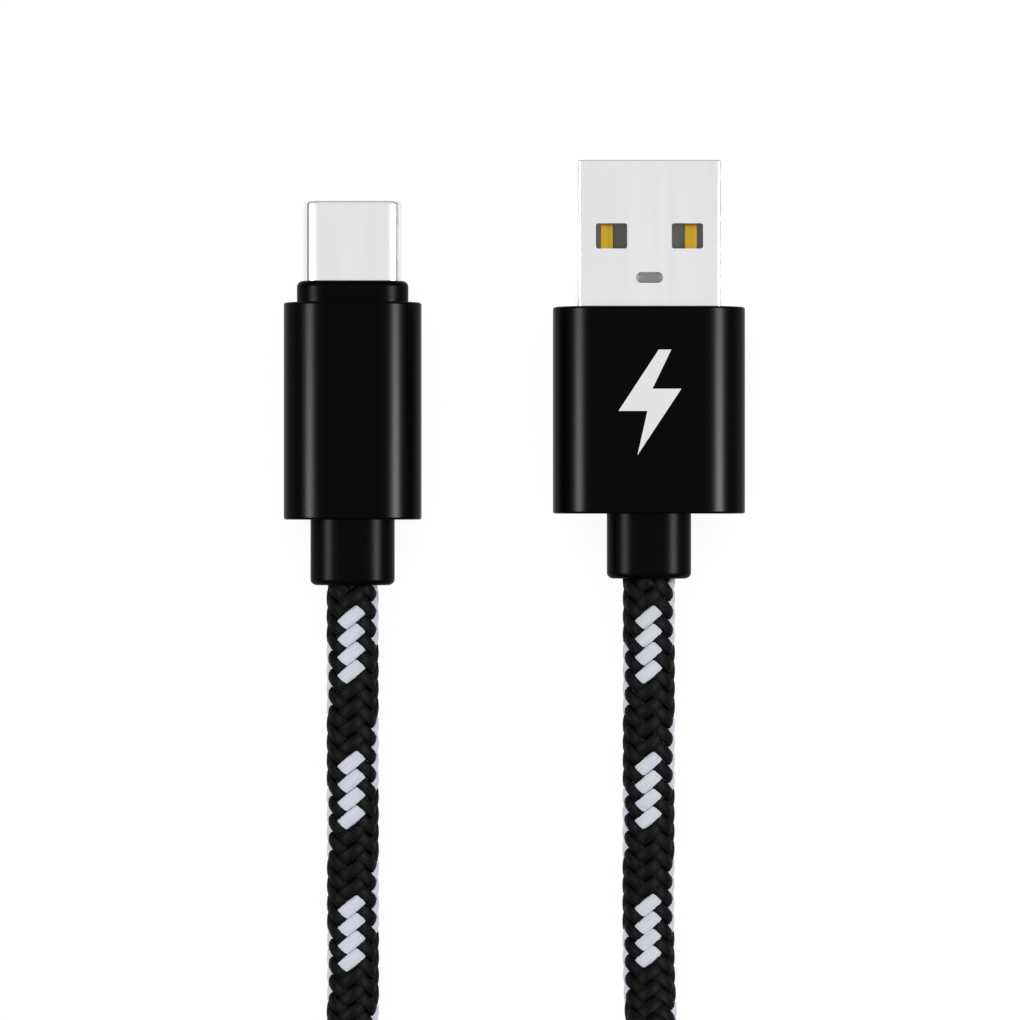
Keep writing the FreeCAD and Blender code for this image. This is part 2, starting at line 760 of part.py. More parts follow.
def make_c_board():
    """The circuit board between the two rows of contact tails, with its two chips."""
    top = "Sizes.c_board_height / 2"
    rear = "-Sizes.c_board_behind - Sizes.c_board_length"
    slab = ("Sizes.c_board_width", "Sizes.c_board_length", "Sizes.c_board_height")
    group("c_board", "c", [block("slab", "0", rear, f"-{top}", *slab)])
    for chip, side in (("resistor", "-"), ("capacitor", "")):
        place = (f"{side}Sizes.chip_offset", "-Sizes.chip_behind", top)
        body = ("Sizes.chip_width", "Sizes.chip_length", f"Sizes.{chip}_height")
        group(f"c_{chip}", "c", [block("chip", *place, *body)])


def make_c_collar():
    """The plastic collar round the shell, with a spigot that fits into the sleeve."""
    face = ("Sizes.c_collar_width", "Sizes.c_collar_height")
    body = new_body("c_collar", "c")
    bar(body, draw_obround, face, "0", "Sizes.c_collar_length")
    front = lies_at("y", value("Sizes.c_collar_length"))
    round_edges(body, "Sizes.c_collar_edge", front)
    bar(body, draw_rounded, bore_section("c"), "-Sizes.c_spigot", "0")
    bar(
        body,
        draw_obround,
        SHELL_C,
        "-Sizes.c_spigot",
        "Sizes.c_collar_length",
        cut=True,
    )


def make_c_plug():
    make_c_shell()
    make_c_housing()
    board_top = "Sizes.c_board_height / 2"
    make_c_contacts("upper", UPPER_CONTACTS, board_top)
    below = f"-({board_top}) - Sizes.c_contact_height"
    make_c_contacts("lower", LOWER_CONTACTS, below)
    make_c_latch_plate()
    make_c_springs()
    make_c_board()
    joints = [f"{place} * Sizes.c_joint_pitch" for place in (-1.5, -0.5, 0.5, 1.5)]
    joint_y = "-Sizes.c_joints_behind"
    make_solder("c", joints, joint_y, board_top)
    make_wires("c", joints, joint_y, board_top)
    make_cable_end("c")
    mouth = (draw_obround, SHELL_C)
    rooms = [
        (draw_rounded, CAN_C_INSIDE, "-Sizes.c_can_front - Sizes.c_can_lid"),
        (*mouth, "-Sizes.c_can_front"),
    ]
    make_can("c", CAN_C, rooms)
    make_core("c", CAN_C, mouth, "-Sizes.c_spigot")
    make_c_collar()
    make_sleeve("c")
    make_relief("c")


# ---- cord, hank and strap


def make_strap():
    """The strap round the hank's waist, with its loose end lapped on top."""
    thick = "Sizes.strap_thickness"
    span = "2 * Sizes.strap_half_width"
    rise = f"Sizes.strap_top - {thick}"
    middle = f"{thick} + ({rise}) / 2"
    near, far = "-Sizes.strap_width / 2", "Sizes.strap_width / 2"
    outside = (
        f"{span} + 2 * {thick}",
        f"{rise} + 2 * {thick}",
        f"Sizes.strap_corner + {thick}",
    )
    inside = (span, rise, "Sizes.strap_corner")
    body = new_body("hank_strap", "hank")
    bar(body, draw_rounded, outside, near, far, centre=("0", middle))
    bar(body, draw_rounded, inside, near, far, cut=True, centre=("0", middle))
    tail = ("Sizes.strap_tail", thick, "Sizes.strap_edge")
    over = f"Sizes.strap_top + 1.5 * {thick}"
    bar(body, draw_rounded, tail, near, far, centre=("0", over))
    return body


def make_hank(strap):
    """The folded cord's outer shape: a loop of one bundle's width, pinched under the strap."""
    body = doc.addObject("PartDesign::Body", "hank_loop")
    put(body, *PLUGS["hank"])
    outline = sketch_on(body, "XY_Plane")
    draw_waisted(outline, "Sizes.fold_radius + Sizes.bundle / 2", "Sizes.waist")
    extrude(body, outline, "Sizes.bundle")
    inside = sketch_on(body, "XY_Plane")
    draw_waisted(
        inside, "Sizes.fold_radius - Sizes.bundle / 2", "Sizes.waist - Sizes.bundle"
    )
    extrude(body, inside, "2 * Sizes.bundle", cut=True, both=True)
    top = value("Sizes.bundle")
    round_edges(
        body,
        "Sizes.bundle_round",
        lambda e: lies_at("z", 0)(e) or lies_at("z", top)(e),
    )
    hank = doc.addObject("Part::Cut", "cord_hank")
    hank.Base = body
    hank.Tool = strap
    hank.Label = "cord_hank"
    nodes.append(hank)
    doc.recompute()
    return hank


# The points of each stretch of cord, from its strain relief into the hank. The cord leaves the
# relief level, comes down onto the table, and joins the hank's side. The stretch from the USB-A
# plug comes out of the top of the hank, so it passes over the loop's end in a low hump.
A_ROUTE = (
    (11.225, -17.125, 3.9),
    (11.225, -29, 3.9),
    (11.225, -41, 2.2),
    (11.225, -52, 2.25),
    (12.1, -62.5, 6.8),
    (13.7, -71.5, 6.7),
    (14.2, -80, 6.0),
)
C_ROUTE = (
    (-13.475, -17.675, 3.5),
    (-13.475, -32, 3.5),
    (-13.475, -46, 2.2),
    (-13.475, -58, 2.2),
    (-17.6, -65, 2.2),
    (-19.5, -72.5, 2.2),
    (-19, -82, 2.2),
)


def make_runs(hank):
    """The two straight stretches, each cut where it goes into the hank."""
    for label, route in (("cord_run_a", A_ROUTE), ("cord_run_c", C_ROUTE)):
        shape = tube(label, route, value("Sizes.cord_diameter")).cut(hank.Shape)
        pieces = sorted(shape.Solids, key=lambda solid: solid.Volume)
        feature = doc.addObject("Part::Feature", label)
        feature.Shape = pieces[-1]
        feature.Placement = FreeCAD.Placement()
        feature.Label = label
        nodes.append(feature)


def write_steps():
    """Checks every object and writes one STEP file for each sub-part."""
    doc.recompute()
    for thing in doc.Objects:
        if "Invalid" in thing.State or "Error" in thing.State:
            raise ValueError(f"{thing.Name} is {thing.State}")
    for node in nodes:
        if node.Shape.isNull() or not node.Shape.isValid():
            raise ValueError(f"{node.Label} has no valid shape")
    os.makedirs("parts", exist_ok=True)
    for node in nodes:
        node.Shape.exportStep(f"parts/{node.Label}.step")
    print(len(nodes), "sub-parts")


make_a_plug()
make_c_plug()
make_runs(make_hank(make_strap()))
write_steps()
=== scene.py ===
import json
import math

import bmesh
import bpy
import numpy as np
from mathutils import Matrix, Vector


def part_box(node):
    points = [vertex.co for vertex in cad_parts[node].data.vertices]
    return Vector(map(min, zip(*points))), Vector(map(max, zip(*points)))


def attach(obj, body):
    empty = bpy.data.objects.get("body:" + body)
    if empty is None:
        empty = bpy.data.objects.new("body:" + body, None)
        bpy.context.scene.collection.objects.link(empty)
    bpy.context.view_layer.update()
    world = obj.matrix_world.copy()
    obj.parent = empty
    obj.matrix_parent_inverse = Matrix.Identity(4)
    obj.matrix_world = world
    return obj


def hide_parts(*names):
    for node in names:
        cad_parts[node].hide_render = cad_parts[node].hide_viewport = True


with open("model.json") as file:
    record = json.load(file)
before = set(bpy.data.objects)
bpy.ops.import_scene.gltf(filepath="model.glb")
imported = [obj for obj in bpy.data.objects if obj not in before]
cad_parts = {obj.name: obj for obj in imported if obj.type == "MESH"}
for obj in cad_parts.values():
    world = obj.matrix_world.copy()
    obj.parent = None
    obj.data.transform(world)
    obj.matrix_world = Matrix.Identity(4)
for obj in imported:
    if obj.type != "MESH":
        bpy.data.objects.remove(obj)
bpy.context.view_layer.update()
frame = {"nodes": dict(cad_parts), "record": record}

# A USB-A to USB-C charging cable, lying flat and seen from straight above. Metres, +Z up.

# ---------------------------------------------------------------- camera and stage

VIEW_WIDTH = 0.085  # how much of the table the picture is wide
VIEW_CENTRE = (-0.00035, -0.01142)
VIEW_LEVEL = 0.004  # the height at which the picture has that width
CAMERA_DISTANCE = 0.5
SENSOR = 36.0

FLOOR_SIZE = 3.0
FLOOR_TONES = (0.19, 0.21)
FLOOR_GLOW = 0.9  # the floor gives most of its brightness itself, which hides nearly all shadow

SURROUND_STRENGTH = 0.86
HORIZON_TONE = 0.08
HORIZON_DARK_TO = 0.2  # the upward part of a direction where the surround starts to brighten
HORIZON_PALE_FROM = 0.5

PLUGS_AT = (0.0, -0.02, 0.0)  # what the softboxes are aimed at
SOFTBOX_SIZE = (0.055, 0.16)
SOFTBOX_ASIDE = 0.36
SOFTBOX_HEIGHT = 0.37
SOFTBOXES = (("softbox_left", -1, 6.0), ("softbox_right", 1, 8.5))  # name, side and power


def make_camera():
    camera = bpy.data.objects.new("camera", bpy.data.cameras.new("camera"))
    camera.data.sensor_width = SENSOR
    camera.data.lens = SENSOR * CAMERA_DISTANCE / VIEW_WIDTH
    camera.data.clip_start = 0.01
    camera.location = (*VIEW_CENTRE, VIEW_LEVEL + CAMERA_DISTANCE)
    bpy.context.collection.objects.link(camera)
    bpy.context.scene.camera = camera


def make_softbox(name, side, power):
    """A rectangular softbox beside the plugs, on side -1 or 1, that only adds highlights."""
    lamp = bpy.data.lights.new(name, "AREA")
    lamp.shape = "RECTANGLE"
    lamp.size, lamp.size_y = SOFTBOX_SIZE
    lamp.energy = power
    light = bpy.data.objects.new(name, lamp)
    light.location = (side * SOFTBOX_ASIDE, PLUGS_AT[1], SOFTBOX_HEIGHT)
    way = Vector(PLUGS_AT) - light.location
    light.rotation_euler = way.to_track_quat("-Z", "Y").to_euler()
    light.visible_diffuse = False
    bpy.context.collection.objects.link(light)


def make_surround():
    """An even pale surround overhead that falls off to dark near the horizon."""
    world = bpy.data.worlds.new("surround")
    world.use_nodes = True
    tree = world.node_tree
    background = tree.nodes["Background"]
    background.inputs["Strength"].default_value = SURROUND_STRENGTH
    direction = tree.nodes.new("ShaderNodeTexCoord")
    split = tree.nodes.new("ShaderNodeSeparateXYZ")
    ramp = tree.nodes.new("ShaderNodeValToRGB")
    ramp.color_ramp.elements[0].position = HORIZON_DARK_TO
    ramp.color_ramp.elements[1].position = HORIZON_PALE_FROM
    ramp.color_ramp.elements[0].color = (HORIZON_TONE, HORIZON_TONE, HORIZON_TONE, 1)
    tree.links.new(direction.outputs["Generated"], split.inputs["Vector"])
    tree.links.new(split.outputs["Z"], ramp.inputs["Fac"])
    tree.links.new(ramp.outputs["Color"], background.inputs["Color"])
    return world


def make_stage():
    """A pale floor that glows, a pale surround, and a softbox along each side of the plugs."""
    bpy.ops.mesh.primitive_plane_add(size=FLOOR_SIZE)
    floor = bpy.context.object
    floor.name = "floor"
    floor.data.materials.append(plain_floor())
    bpy.context.scene.world = make_surround()
    for name, side, power in SOFTBOXES:
        make_softbox(name, side, power)
    bpy.context.scene.view_settings.view_transform = "Standard"


# ---------------------------------------------------------------- materials


def new_material(name, **values):
    """A Principled material with those values on its own sockets."""
    material = bpy.data.materials.new(name)
    material.use_nodes = True
    shader = material.node_tree.nodes["Principled BSDF"]
    for socket, amount in values.items():
        shader.inputs[socket.replace("_", " ")].default_value = amount
    return material


def node(material, kind, **values):
    made = material.node_tree.nodes.new(kind)
    for socket, amount in values.items():
        made.inputs[socket.replace("_", " ")].default_value = amount
    return made


def wire(material, source, output, target, socket):
    material.node_tree.links.new(source.outputs[output], target.inputs[socket])


def coordinates(material, scale, attribute=None):
    """Object coordinates, or a mesh attribute, stretched by scale."""
    if attribute:
        start = material.node_tree.nodes.new("ShaderNodeAttribute")
        start.attribute_name = attribute
        output = "Vector"
    else:
        start = material.node_tree.nodes.new("ShaderNodeTexCoord")
        output = "Object"
    stretch = node(material, "ShaderNodeMapping", Scale=scale)
    wire(material, start, output, stretch, "Vector")
    return stretch


def grain(material, scale, detail=3.0, attribute=None):
    """A noise over those coordinates, from 0 to 1."""
    noise = node(material, "ShaderNodeTexNoise", Scale=1.0, Detail=detail)
    wire(material, coordinates(material, scale, attribute), "Vector", noise, "Vector")
    return noise


def vary_colour(material, source, dark, light, low=0.3, high=0.7):
    """Colours the surface from dark to light as the source goes from low to high."""
    ramp = node(material, "ShaderNodeValToRGB")
    ramp.color_ramp.elements[0].position = low
    ramp.color_ramp.elements[1].position = high
    ramp.color_ramp.elements[0].color = (*dark, 1)
    ramp.color_ramp.elements[1].color = (*light, 1)
    wire(material, source, "Fac", ramp, "Fac")
    shader = material.node_tree.nodes["Principled BSDF"]
    wire(material, ramp, "Color", shader, "Base Color")


def vary_roughness(material, source, low, high):
    spread = node(material, "ShaderNodeMapRange", To_Min=low, To_Max=high)
    wire(material, source, "Fac", spread, "Value")
    shader = material.node_tree.nodes["Principled BSDF"]
    wire(material, spread, "Result", shader, "Roughness")


def raise_surface(material, source, distance, strength=1.0, output="Fac"):
    bump = node(material, "ShaderNodeBump", Distance=distance, Strength=strength)
    wire(material, source, output, bump, "Height")
    shader = material.node_tree.nodes["Principled BSDF"]
    wire(material, bump, "Normal", shader, "Normal")


def plain_floor():
    floor = new_material(
        "plain_floor",
        Roughness=0.9,
        Specular_IOR_Level=0.0,
        Emission_Color=(1, 1, 1, 1),
        Emission_Strength=FLOOR_GLOW,
    )
    speckle = grain(floor, (40.0, 40.0, 40.0))
    darker, lighter = FLOOR_TONES
    vary_colour(floor, speckle, (darker, darker, darker), (lighter, lighter, lighter))
    return floor


METAL_SPREAD = 0.03  # how far the roughness varies either way
PLASTIC_SPREAD = 0.06


def metal(name, dark, light, rough, scale=(900.0, 60.0, 900.0), bump=2e-6):
    """Plated metal, with fine drawing lines along the plug."""
    made = new_material(name, Metallic=1.0)
    lines = grain(made, scale, 4.0)
    vary_colour(made, lines, dark, light)
    vary_roughness(made, lines, rough - METAL_SPREAD, rough + METAL_SPREAD)
    raise_surface(made, lines, bump)
    return made


def plastic(name, dark, light, rough, specular=0.4, scale=9000.0, bump=6e-6):
    """Moulded plastic with a fine spark-eroded grain."""
    made = new_material(name, Specular_IOR_Level=specular)
    mould = grain(made, (scale, scale, scale), 2.0)
    vary_colour(made, mould, dark, light)
    vary_roughness(made, mould, rough - PLASTIC_SPREAD, rough + PLASTIC_SPREAD)
    raise_surface(made, mould, bump)
    return made


def anodised():
    """Anodised aluminium with a fine satin, kept much blacker and less shiny than real metal."""
    made = new_material("black_anodised", Specular_IOR_Level=0.026)
    blast = grain(made, (16000.0, 16000.0, 16000.0), 2.0)
    vary_colour(made, blast, (0.0002, 0.0006, 0.0008), (0.0008, 0.0014, 0.0018))
    vary_roughness(made, blast, 0.24, 0.34)
    raise_surface(made, blast, 1e-6)
    return made


def yarn(name, dark, light, sheen):
    """Nylon yarn: a bundle of fine filaments that run along it."""
    made = new_material(name, Specular_IOR_Level=0.035, Sheen_Weight=sheen)
    made.node_tree.nodes["Principled BSDF"].inputs["Sheen Roughness"].default_value = 0.4
    filaments = grain(made, (700.0, 14000.0, 1.0), 2.0, "fibre")
    vary_colour(made, filaments, dark, light, 0.25, 0.75)
    vary_roughness(made, filaments, 0.45, 0.65)
    raise_surface(made, filaments, 4e-5)
    return made


RIB_PITCH = 0.0007
WAVES_PER_UNIT = 2 * math.pi / 20  # the length of one band of a wave texture at scale 1


def webbing():
    """Hook-and-loop webbing: matt black, woven in ribs that run round the strap."""
    made = new_material("strap_fabric", Specular_IOR_Level=0.1)
    ribs = node(made, "ShaderNodeTexWave", Scale=1.0, Distortion=1.2, Detail_Scale=6.0)
    ribs.bands_direction = "Y"
    turns = WAVES_PER_UNIT / RIB_PITCH
    wire(made, coordinates(made, (turns, turns, turns)), "Vector", ribs, "Vector")
    tone = grain(made, (5000.0, 5000.0, 5000.0))
    vary_colour(made, tone, (0.004, 0.004, 0.005), (0.02, 0.02, 0.022))
    vary_roughness(made, tone, 0.8, 0.95)
    raise_surface(made, ribs, 3e-4)
    return made


def green_board():
    made = new_material("green_board", Specular_IOR_Level=0.5)
    mask = grain(made, (2500.0, 600.0, 2500.0))
    vary_colour(made, mask, (0.008, 0.09, 0.03), (0.02, 0.16, 0.06))
    vary_roughness(made, mask, 0.25, 0.4)
    return made


# much darker than real black plastic, to look black under this light
BLACK = ((0.0006, 0.0006, 0.0007), (0.0016, 0.0016, 0.0018))
FINISHES = {
    "plated_steel": lambda: metal(
        "plated_steel", (0.8, 0.8, 0.803), (0.82, 0.82, 0.823), 0.19
    ),
    "black_anodised": anodised,
    "black_plastic": lambda: plastic("black_plastic", *BLACK, 0.36, 0.02),
    # painted shade: the insulator's light grey plastic is given as a mid grey, standing in for
    # the shade in the hollow of the shell
    "grey_plastic": lambda: plastic(
        "grey_plastic", (0.14, 0.14, 0.142), (0.2, 0.2, 0.203), 0.5
    ),
    "housing_plastic": lambda: plastic(
        "housing_plastic", (0.012, 0.012, 0.013), (0.02, 0.02, 0.021), 0.45
    ),
    # painted shade: the contacts' gold is darker and browner than plated gold, standing in for
    # the shade in the recess they sit in
    "gold_plating": lambda: metal(
        "gold_plating", (0.55, 0.34, 0.02), (0.66, 0.43, 0.04), 0.2
    ),
    "wire_red": lambda: plastic("wire_red", (0.45, 0.01, 0.01), (0.6, 0.03, 0.03), 0.35),
    "wire_white": lambda: plastic("wire_white", (0.7, 0.7, 0.68), (0.8, 0.8, 0.78), 0.35),
    "wire_green": lambda: plastic("wire_green", (0.02, 0.25, 0.06), (0.04, 0.35, 0.1), 0.35),
    "wire_black": lambda: plastic("wire_black", *BLACK, 0.35),
    "solder": lambda: metal("solder", (0.62, 0.62, 0.63), (0.8, 0.8, 0.81), 0.22),
    "tinned_can": lambda: metal("tinned_can", (0.6, 0.6, 0.58), (0.74, 0.74, 0.72), 0.35),
    "spring_steel": lambda: metal(
        "spring_steel", (0.5, 0.5, 0.51), (0.66, 0.66, 0.67), 0.3
    ),
    "green_board": green_board,
    "chip_ceramic": lambda: plastic(
        "chip_ceramic", (0.05, 0.04, 0.035), (0.1, 0.085, 0.07), 0.5
    ),
    "cable_jacket": lambda: plastic("cable_jacket", *BLACK, 0.6, 0.05),
    "braid_black": lambda: yarn(
        "braid_black", (0.0002, 0.0002, 0.0003), (0.0016, 0.0016, 0.0019), 0.0
    ),
    "braid_white": lambda: yarn(
        "braid_white", (0.72, 0.75, 0.9), (0.93, 0.95, 1.0), 0.1
    ),
    "strap_fabric": webbing,
    "mark_white": lambda: plastic(
        "mark_white", (0.93, 0.93, 0.93), (0.97, 0.97, 0.97), 0.6, 0.2
    ),
}
finished = {}


def finish_of(slot):
    """The material of that slot, made once."""
    if slot not in finished:
        finished[slot] = FINISHES[slot]()
    return finished[slot]


# how far the sheared and pressed edges of the sheet-metal parts are broken
SOFT_EDGES = {
    "a_shell": 0.00007,
    "c_shell": 0.00007,
    "a_contact_vbus": 0.00012,
    "a_contact_d_minus": 0.00012,
    "a_contact_d_plus": 0.00012,
    "a_contact_ground": 0.00012,
}


def finish_cad_nodes():
    """Gives every carried-over CAD node its own procedural material."""
    slots = {part["node"]: part["material_slot"] for part in frame["record"]["subparts"]}
    for name, obj in frame["nodes"].items():
        for place in obj.material_slots:
            place.material = finish_of(slots[name])
        if name in SOFT_EDGES:
            bevel = obj.modifiers.new("soft_edges", "BEVEL")
            bevel.width = SOFT_EDGES[name]
            bevel.segments = 2
            bevel.limit_method = "ANGLE"
            bevel.harden_normals = True


# ---------------------------------------------------------------- the cord's route

DIAMETER = 0.0044

# From each strain relief into the hank. The cord leaves the relief level and comes down onto the
# table. The stretch from the USB-A plug then climbs over the hank's near end, and the one from
# the USB-C plug goes round outside that end.
A_ROUTE = (
    (0.011225, -0.017125, 0.0039),
    (0.011225, -0.029, 0.0039),
    (0.011225, -0.041, 0.0022),
    (0.011225, -0.052, 0.00225),
    (0.0121, -0.0625, 0.0068),
    (0.0137, -0.0715, 0.0067),
    (0.0142, -0.080, 0.0060),
)
C_ROUTE = (
    (-0.013475, -0.017675, 0.0035),
    (-0.013475, -0.032, 0.0035),
    (-0.013475, -0.046, 0.0022),
    (-0.013475, -0.058, 0.0022),
    (-0.0176, -0.065, 0.0022),
    (-0.0195, -0.0725, 0.0022),
    (-0.019, -0.082, 0.0022),
)

FOLD_RADIUS = 0.0154  # of the middle of the bundle, at the hank's round ends
HALF_SPACING = 0.043  # from the hank's middle to the middle of each end
WAIST = 0.009  # half the hank's width under the strap
BUNDLE = 2 * DIAMETER
STRAP_THICKNESS = 0.001
STRAP_REACH = 0.009  # from the hank's middle, how far the strands are lifted in full
STRAP_FADE = 0.015  # the length over which they come down again
JOIN_SHARE = 0.75  # how far along the side's arc the first strand joins and the last one leaves
UPPER = DIAMETER * math.sin(math.radians(60))  # how far the top strand lies above the others

HANK_LOW, HANK_HIGH = (Vector(corner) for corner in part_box("cord_hank"))
HANK_MIDDLE = (HANK_LOW + HANK_HIGH) / 2
OUTER_END = FOLD_RADIUS + BUNDLE / 2
# the radius of the hank's sides, which are arcs that curve in towards the strap
HOLLOW = (WAIST**2 + HALF_SPACING**2 - OUTER_END**2) / (2 * (OUTER_END - WAIST))
SIDE_X = WAIST + HOLLOW  # where each side's arc has its centre
SLOPE = math.atan2(HALF_SPACING, SIDE_X)
SIDE_POINTS = 8
END_POINTS = 19
# in a spline of order 3, how much of the point nearest to a control point comes from the
# control point's two neighbours
NEIGHBOUR_SHARE = 0.25


def ease(share):
    """From 0 to 1 as share goes from 0 to 1, starting and ending gently."""
    share = min(max(share, 0.0), 1.0)
    return (1 - math.cos(math.pi * share)) / 2


def over_strap(y):
    """How far the strands are lifted where they lie on the strap."""
    return STRAP_THICKNESS * (1 - ease((abs(y) - STRAP_REACH) / STRAP_FADE))


def hank_point(x, y, z):
    """A point given from the hank's middle, with z above a strand that lies on the table."""
    return (HANK_MIDDLE.x + x, HANK_MIDDLE.y + y, DIAMETER / 2 + z + over_strap(y))


def side_points(side, offset, height, start=1.0, end=-1.0):
    """One side of the hank, from start to end as shares of that side's arc."""
    points = []
    for step in range(1, SIDE_POINTS):
        share = start + (end - start) * step / SIDE_POINTS
        radius = HOLLOW + BUNDLE / 2 - offset
        angle = share * SLOPE
        x = side * (SIDE_X - radius * math.cos(angle))
        points.append(hank_point(x, radius * math.sin(angle), height))
    return points


def end_points(end, place):
    """One round end; place(share) gives the strand's offset and height along it."""
    sweep = math.pi + 2 * SLOPE
    # control points lie outside the fold, so that the spline itself has the fold's radius
    pulled_in = NEIGHBOUR_SHARE * math.cos(sweep / END_POINTS)
    outward = 1 / (1 - NEIGHBOUR_SHARE + pulled_in)
    points = []
    for step in range(END_POINTS + 1):
        share = step / END_POINTS
        offset, height = place(share)
        angle = (-SLOPE if end > 0 else math.pi - SLOPE) + sweep * share
        radius = (FOLD_RADIUS + offset) * outward
        x = radius * math.cos(angle)
        y = end * HALF_SPACING + radius * math.sin(angle)
        points.append(hank_point(x, y, height))
    return points


OUTER_LOW = (DIAMETER / 2, 0.0)
INNER_LOW = (-DIAMETER / 2, 0.0)
MIDDLE_TOP = (0.0, UPPER)


def moving_in(share):
    """The first pass moves from the outside to the inside."""
    return DIAMETER / 2 * (1 - 2 * ease(share)), 0.0


def climbing(share):
    """The second pass climbs over the first one, staying beside it."""
    turned = math.radians(180 - 120 * ease(share))
    offset = moving_in(share)[0] + DIAMETER * math.cos(turned)
    return offset, DIAMETER * math.sin(turned)


def hank_points():
    """Three folded turns, one after another: down the left side, round, and up the right."""
    points = []
    passes = (OUTER_LOW, INNER_LOW, MIDDLE_TOP)
    changes = (moving_in, climbing)
    for number, (offset, height) in enumerate(passes):
        first = JOIN_SHARE if number == 0 else 1.0
        last = JOIN_SHARE if number == len(changes) else 1.0
        points += side_points(-1, offset, height, first, -1.0)
        points += end_points(-1, lambda share: (offset, height))
        points += side_points(1, offset, height, -1.0, last)
        if number < len(changes):
            points += end_points(1, changes[number])
    return points


def make_route():
    """The whole cord as one smooth spline, from the USB-C plug to the USB-A plug."""
    points = [*C_ROUTE, *hank_points(), *reversed(A_ROUTE)]
    curve = bpy.data.curves.new("route", "CURVE")
    curve.dimensions = "3D"
    spline = curve.splines.new("NURBS")
    spline.points.add(len(points) - 1)
    for spot, place in zip(spline.points, points):
        spot.co = (*place, 1)
    spline.order_u = 3
    spline.use_endpoint_u = True
    curve.resolution_u = 12
    return curve


def read_line(curve):
    """The points of the spline itself."""
    bare = bpy.data.objects.new("bare_route", curve)
    mesh = bpy.data.meshes.new_from_object(bare)
    line = np.array([v.co for v in mesh.vertices], float)
    bpy.data.meshes.remove(mesh)
    bpy.data.objects.remove(bare)
    return line


def evenly(line, step):
    """The line again, with points one step apart, and how far along each lies."""
    along = np.r_[0, np.cumsum(np.linalg.norm(np.diff(line, axis=0), axis=1))]
    at = np.linspace(0, along[-1], round(along[-1] / step) + 1)
    return np.stack([np.interp(at, along, line[:, k]) for k in range(3)], 1), at


# ---------------------------------------------------------------- the braid

CARRIERS = 16  # yarns in the braid, half of them each way round
WHITE_YARNS = 4
PITCH = 0.01203  # the length of one full turn of a yarn
RINGS_PER_PITCH = 40
YARN_WIDTH = 0.0012
YARN_THICKNESS = 0.00046
BRAID_RADIUS = 0.00177  # of the middle of the braid
WAVE = 0.0002  # how far a yarn moves out over two others and in under the next two
WAVE_SQUARENESS = 0.4  # 1 for a sine wave, and less the longer a yarn stays out or in
OVER_AT = {1: 0.5, -1: 2.5}  # where in each four cells a yarn floats on top, by its way round
SECTION_POINTS = 8
YARN_SQUARENESS = 0.8  # 1 for an oval yarn, and less for a squarer one
FIBRES_APART = (0.37, 5.1)  # keeps the fibres of two yarns, or of the two ways round, different
FLOAT_TILT = 0.41  # how much faster than on average a yarn goes round where it floats on top
COLUMN_ANGLE = math.radians(91.5)  # where the front column of floats lies, from +X towards +Z
C_WHITE_AT = 0.0049  # from the USB-C relief to the middle of the first white group
A_WHITE_AT = 0.00542  # the same from the USB-A relief
# how many cells the yarns have gone round where the white ones float in the front column
WHITE_IN_FRONT = 0.5 - (WHITE_YARNS - 1)
PLAIN_ENDS = 0.1  # how much cord at each end keeps its pattern just as it is


def unit(vectors):
    return vectors / np.linalg.norm(vectors, axis=-1, keepdims=True)


def squared(share, squareness):
    """A sine or cosine pushed out towards 1 or -1."""
    return np.copysign(np.abs(share) ** squareness, share)


def frames_along(line):
    """Tangents, and normals carried along the line without twist."""
    tangents = unit(np.gradient(line, axis=0))
    normals = np.zeros_like(line)
    normals[0] = (1, 0, 0)
    for i in range(1, len(line)):
        back = normals[i - 1] - tangents[i] * (normals[i - 1] @ tangents[i])
        normals[i] = back / np.linalg.norm(back)
    return tangents, normals


def turned(tangents, normals, angles):
    """The normals turned about the tangents."""
    across = np.cross(tangents, normals)
    cosine, sine = np.cos(angles)[:, None], np.sin(angles)[:, None]
    return normals * cosine + across * sine


